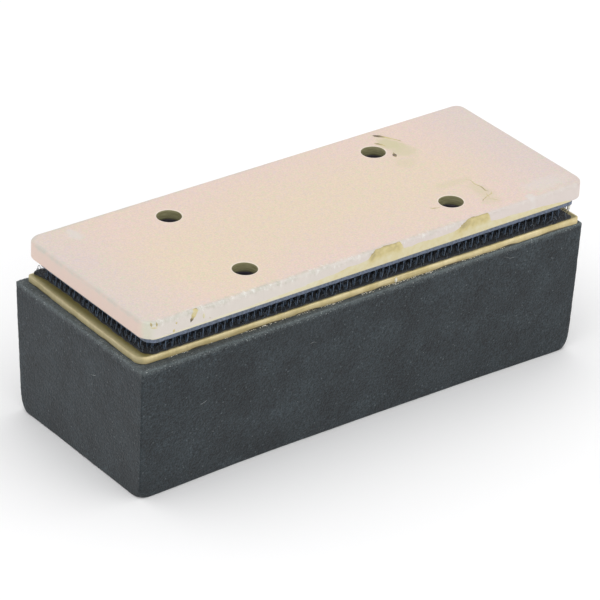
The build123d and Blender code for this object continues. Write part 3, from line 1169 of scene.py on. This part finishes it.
def makeFoam():
    low, high = [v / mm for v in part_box("foam_block")]
    half, height = (high - low) / 2, high.z - low.z
    fine = foamShape["fineRows"]
    xs = gridLine(-half.x, half.x, foamShape["step"], fine)
    ys = gridLine(-half.y, half.y, foamShape["step"], fine)
    zs = gridLine(0, height, foamShape["step"], fine)
    bm = bmesh.new()
    rimDustAndLightLayer = bm.verts.layers.float.new("rim")
    found = {}

    def corner(i, j, k):
        if (i, j, k) not in found:
            found[i, j, k] = bm.verts.new(foamPoint(xs[i], ys[j], zs[k], half, height))
        return found[i, j, k]

    def quad(*places):
        bm.faces.new([corner(*place) for place in places])

    right, far, top = len(xs) - 1, len(ys) - 1, len(zs) - 1
    for i in range(right):
        for j in range(far):
            quad((i, j, top), (i + 1, j, top), (i + 1, j + 1, top), (i, j + 1, top))
            quad((i, j, 0), (i, j + 1, 0), (i + 1, j + 1, 0), (i + 1, j, 0))
        for k in range(top):
            quad((i, 0, k), (i + 1, 0, k), (i + 1, 0, k + 1), (i, 0, k + 1))
            quad((i, far, k), (i, far, k + 1), (i + 1, far, k + 1), (i + 1, far, k))
    for j in range(far):
        for k in range(top):
            quad((0, j, k), (0, j, k + 1), (0, j + 1, k + 1), (0, j + 1, k))
            quad((right, j, k), (right, j + 1, k), (right, j + 1, k + 1), (right, j, k + 1))
    bm.normal_update()
    # the rim attribute: pale dust and torn cells near the top, plus painted light on the upward top face and
    # a painted highlight along the upper edges, broader to the left
    for (i, j, k), vert in found.items():
        fromTop = height - zs[k]
        fromSide = min(half.x - abs(xs[i]), half.y - abs(ys[j]))
        toLeft = 0.5 - 0.5 * math.copysign(min(1.0, abs(xs[i]) / half.x) ** 8, xs[i])
        paledAndLit = 0.48 + 0.25 * toLeft * noise.noise(vert.co / 1.1)
        nearTop = paledAndLit * math.exp(-fromTop / (1.2 + 0.9 * toLeft))
        crest = 0.52 + 0.12 * xs[i] / half.x
        vert[rimDustAndLightLayer] = nearTop + crest * math.exp(-max(fromTop, fromSide) / (0.4 + 0.5 * toLeft))
        p = vert.co
        wander = foamShape["wander"] * noise.noise(p / foamShape["wanderSize"])
        cells = foamShape["cells"] * (noise.noise(p / 0.9) + 0.6 * noise.noise(p / 0.45))
        ragged = 0.12 * vert[rimDustAndLightLayer] * noise.noise(p / 0.7)
        flat = 0.15 if k == 0 else 1.0
        vert.co = p + vert.normal * ((wander + cells) * flat + ragged)
    foam = newPiece("foam", finishMesh(bm, "foam", 0.0, (low + high) / 2, low.z), finishes["foam"])
    lowest = min(v.co.z for v in foam.data.vertices)
    foam.data.transform(Matrix.Translation((0, 0, low.z * mm - lowest)))
    print("foam faces:", len(foam.data.polygons))
    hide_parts("foam_block")
    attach(foam, "pad")
    return foam


foam = makeFoam()
print("foam made")


# small crumbs strewn over the faces they are given
def crumbTree():
    tree, given, result = newTree("crumbs", [
        ("Density", "Float"), ("Smallest", "Float"), ("Largest", "Float"),
        ("Seed", "Int"), ("Material", "Material"),
    ])
    strewn = addNode(tree, "GeometryNodeDistributePointsOnFaces", {"distribute_method": "RANDOM"}, {
        "Mesh": given["Geometry"], "Density": given["Density"], "Seed": given["Seed"],
    })
    crumb = addNode(tree, "GeometryNodeMeshIcoSphere", {}, {"Radius": 1.0, "Subdivisions": 1})
    squash = addNode(tree, "GeometryNodeTransform", {}, {
        "Geometry": crumb.outputs["Mesh"], "Scale": (1.0, 0.7, 0.45),
    })
    size = addNode(tree, "FunctionNodeRandomValue", {"data_type": "FLOAT"}, {
        "Min": given["Smallest"], "Max": given["Largest"], "Seed": given["Seed"],
    })
    placed = addNode(tree, "GeometryNodeInstanceOnPoints", {}, {
        "Points": strewn.outputs["Points"], "Instance": squash,
        "Rotation": strewn.outputs["Rotation"], "Scale": size,
    })
    whole = addNode(tree, "GeometryNodeRealizeInstances", {}, {"Geometry": placed})
    return dressTree(tree, whole, given, result)


crumbs = crumbTree()
crumbSmallest = 0.03


# crumbs over a mesh's faces: density to the square metre, largest size in millimetres
def strew(name, faces, density, largest, seed, finish):
    return grow(name, crumbs, {
        "Density": density, "Smallest": crumbSmallest * mm, "Largest": largest * mm, "Seed": seed,
        "Material": finishes[finish],
    }, faces)


def facesWhere(source, test, name):  # a copy of the faces of a piece that pass a test
    bm = bmesh.new()
    bm.from_mesh(source.data)
    bmesh.ops.delete(bm, geom=[f for f in bm.faces if not test(f)], context="FACES")
    mesh = bpy.data.meshes.new(name)
    bm.to_mesh(mesh)
    bm.free()
    return mesh


# crumbs lie thick along the rim, on the top of the sides and outside this half-size on the upper face, in mm
rimBand = {"drop": 0.7, "inner": (53.0, 20.4)}


def makeDust():
    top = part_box("foam_block")[1].z

    def onRim(face):
        middle = face.calc_center_median()
        shares = [abs(place) / (inner * mm) for place, inner in zip(middle, rimBand["inner"])]
        return middle.z > top - rimBand["drop"] * mm and (face.normal.z < 0.9 or max(shares) > 1)

    rimCrumbs = strew("rim_crumbs", facesWhere(foam, onRim, "rimFaces"), 2.4e6, 0.15, 3, "dust")
    sideFaces = facesWhere(foam, lambda f: abs(f.normal.z) < 0.5, "sideFaces")
    specks = strew("foam_specks", sideFaces, 1.1e4, 0.12, 8, "dust")
    for piece in (rimCrumbs, specks):
        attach(piece, "pad")


makeDust()


# lint caught on the foam, in millimetres, drawn coarser than real fibre so that it shows
lintSet = {"radius": 0.05, "strays": 7, "strayLength": 1.6, "seed": 21}
frontLint = [(33.5, 26.95), (34.2, 26.55), (34.8, 26.33), (35.3, 26.2), (35.8, 26.15), (36.3, 26.22)]


def addTube(bm, spine, radius, sides=5):
    rings = []
    for i, point in enumerate(spine):
        along = (spine[min(i + 1, len(spine) - 1)] - spine[max(i - 1, 0)]).normalized()
        side = along.cross(Vector((0.31, 0.17, 0.93))).normalized()
        other = along.cross(side)
        thin = radius * (0.55 + 0.45 * math.sin(math.pi * i / (len(spine) - 1)))
        ring = []
        for k in range(sides):
            a = math.tau * k / sides
            ring.append(bm.verts.new(point + thin * (math.cos(a) * side + math.sin(a) * other)))
        rings.append(ring)
    for one, two in zip(rings, rings[1:]):
        for k in range(sides):
            j = (k + 1) % sides
            bm.faces.new((one[k], one[j], two[j], two[k]))
    bm.faces.new(list(reversed(rings[0])))
    bm.faces.new(rings[-1])


def makeLint():
    look = lintSet
    draw = random.Random(look["seed"])
    faces = foam.data.polygons
    skin = BVHTree.FromPolygons([v.co / mm for v in foam.data.vertices], [f.vertices for f in faces])
    bm = bmesh.new()
    paths = [[Vector((x, -22, z)) for x, z in frontLint]]
    for _ in range(look["strays"]):
        face = faces[draw.randrange(len(faces))]
        while abs(face.normal.z) > 0.5:
            face = faces[draw.randrange(len(faces))]
        spot, heading = face.center / mm, Vector((face.normal.y, -face.normal.x, draw.uniform(-0.8, 0.8)))
        path = [spot]
        for _ in range(5):
            heading = (heading + Vector((0, 0, draw.uniform(-0.5, 0.5)))).normalized()
            path.append(path[-1] + heading * look["strayLength"] / 5)
        paths.append(path)
    for path in paths:
        settled = []
        for point in path:
            found, normal, _, _ = skin.find_nearest(point)
            settled.append(found + normal * look["radius"])
        addTube(bm, settled, look["radius"])
    bmesh.ops.recalc_face_normals(bm, faces=bm.faces)
    lint = newPiece("lint", finishMesh(bm, "lint"), finishes["dust"])
    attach(lint, "pad")


# chalky squeeze-out along the front seam between board and foam, in broken runs: start, end, width in mm
seamRuns = [
    (-46.5, -42.0, 0.28),
    (-37.6, -36.4, 0.25),
    (-33.6, -32.4, 0.25),
    (-30.0, -19.0, 0.34),
    (-17.0, -6.0, 0.4),
    (-2.0, 17.0, 0.42),
    (17.0, 34.0, 0.1),
]
seamBlob = {"along": 6.9, "halfSize": (0.3, 0.22, 0.55), "height": 0.75}


def makeSeam():
    turn, middle = math.radians(boardShape["turn"]), middleOf("backing_board")
    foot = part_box("foam_block")[1].z / mm
    bm = bmesh.new()

    def onBoard(x, y, z):
        boardX = middle.x + x * math.cos(turn) - y * math.sin(turn)
        boardY = middle.y + x * math.sin(turn) + y * math.cos(turn)
        return (boardX, boardY, z)

    front = -boardShape["width"] / 2
    for start, end, width in seamRuns:
        inner, outer = (front, foot + 0.2), (front - width, foot + 0.02)
        corners = ((start, *inner), (start, *outer), (end, *outer), (end, *inner))
        bm.faces.new([bm.verts.new(onBoard(x, y, z)) for x, y, z in corners])
    beads = strew("seam_beads", finishMesh(bm, "seamRuns"), 1.1e7, 0.15, 5, "beads")
    bm = bmesh.new()
    bmesh.ops.create_icosphere(bm, subdivisions=3, radius=1.0)
    wide, deep, tall = seamBlob["halfSize"]
    for vert in bm.verts:
        x, y, z = vert.co * (1 + 0.3 * noise.noise(vert.co * 1.7))
        place = (seamBlob["along"] + wide * x, front - 0.02 + deep * y, foot + seamBlob["height"] + tall * z)
        vert.co = Vector(onBoard(*place))
    blob = newPiece("seam_blob", finishMesh(bm, "seam_blob"), finishes["beads"])
    for piece in (beads, blob):
        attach(piece, "pad")


makeLint()
makeSeam()
print("lint and seam adhesive made")


# camera and light
cameraSet = {
    "azimuth": -37.9,
    "elevation": 29.4,
    "roll": 2.44,
    "distance": 788.7,
    "aim": (-0.9, 0.1, 17.9),
    "lens": 240.0,
}


def makeCamera():
    azimuth, elevation, roll = [math.radians(cameraSet[k]) for k in ("azimuth", "elevation", "roll")]
    level = math.cos(elevation)
    back = Vector((math.sin(azimuth) * level, -math.cos(azimuth) * level, math.sin(elevation)))
    right = Vector((math.cos(azimuth), math.sin(azimuth), 0))
    up = back.cross(right)
    tilted = right * math.cos(roll) + up * math.sin(roll)
    data = bpy.data.cameras.new("camera")
    data.lens = cameraSet["lens"]
    data.clip_start = 0.01
    camera = bpy.data.objects.new("camera", data)
    bpy.context.scene.collection.objects.link(camera)
    turn = Matrix((tilted, back.cross(tilted), back)).transposed().to_4x4()
    spot = (Vector(cameraSet["aim"]) + back * cameraSet["distance"]) * mm
    camera.matrix_world = Matrix.Translation(spot) @ turn
    bpy.context.scene.camera = camera


studioSet = {
    "sky": "fdfdff",
    "skyStrength": 0.95,
    "lights": [  # name, place and size in metres, power in watts
        ("overhead", (-0.1, -0.1, 0.9), 1.2, 2.2),
        ("frontFill", (0.3, -0.9, 0.35), 0.8, 1.0),
    ],
    "floorHalf": 3.0,
}


def makeStudio():
    world = bpy.data.worlds.new("studio")
    world.use_nodes = True
    backdrop = world.node_tree.nodes["Background"]
    backdrop.inputs["Color"].default_value = toLinear(studioSet["sky"])
    backdrop.inputs["Strength"].default_value = studioSet["skyStrength"]
    bpy.context.scene.world = world
    for name, place, size, power in studioSet["lights"]:
        data = bpy.data.lights.new(name, "AREA")
        data.shape = "SQUARE"
        data.size = size
        data.energy = power
        light = bpy.data.objects.new(name, data)
        light.location = place
        light.rotation_mode = "QUATERNION"
        light.rotation_quaternion = Vector(place).to_track_quat("Z", "Y")
        bpy.context.scene.collection.objects.link(light)
    bm = bmesh.new()
    bmesh.ops.create_grid(bm, x_segments=4, y_segments=4, size=studioSet["floorHalf"])
    mesh = bpy.data.meshes.new("studioFloor")
    bm.to_mesh(mesh)
    bm.free()
    floor = newPiece("studioFloor", mesh, studioSheet())
    floor.location.z = cadLow.z - 0.02 * mm
    bpy.context.scene.view_settings.view_transform = "Standard"


makeCamera()
makeStudio()
print("studio made")
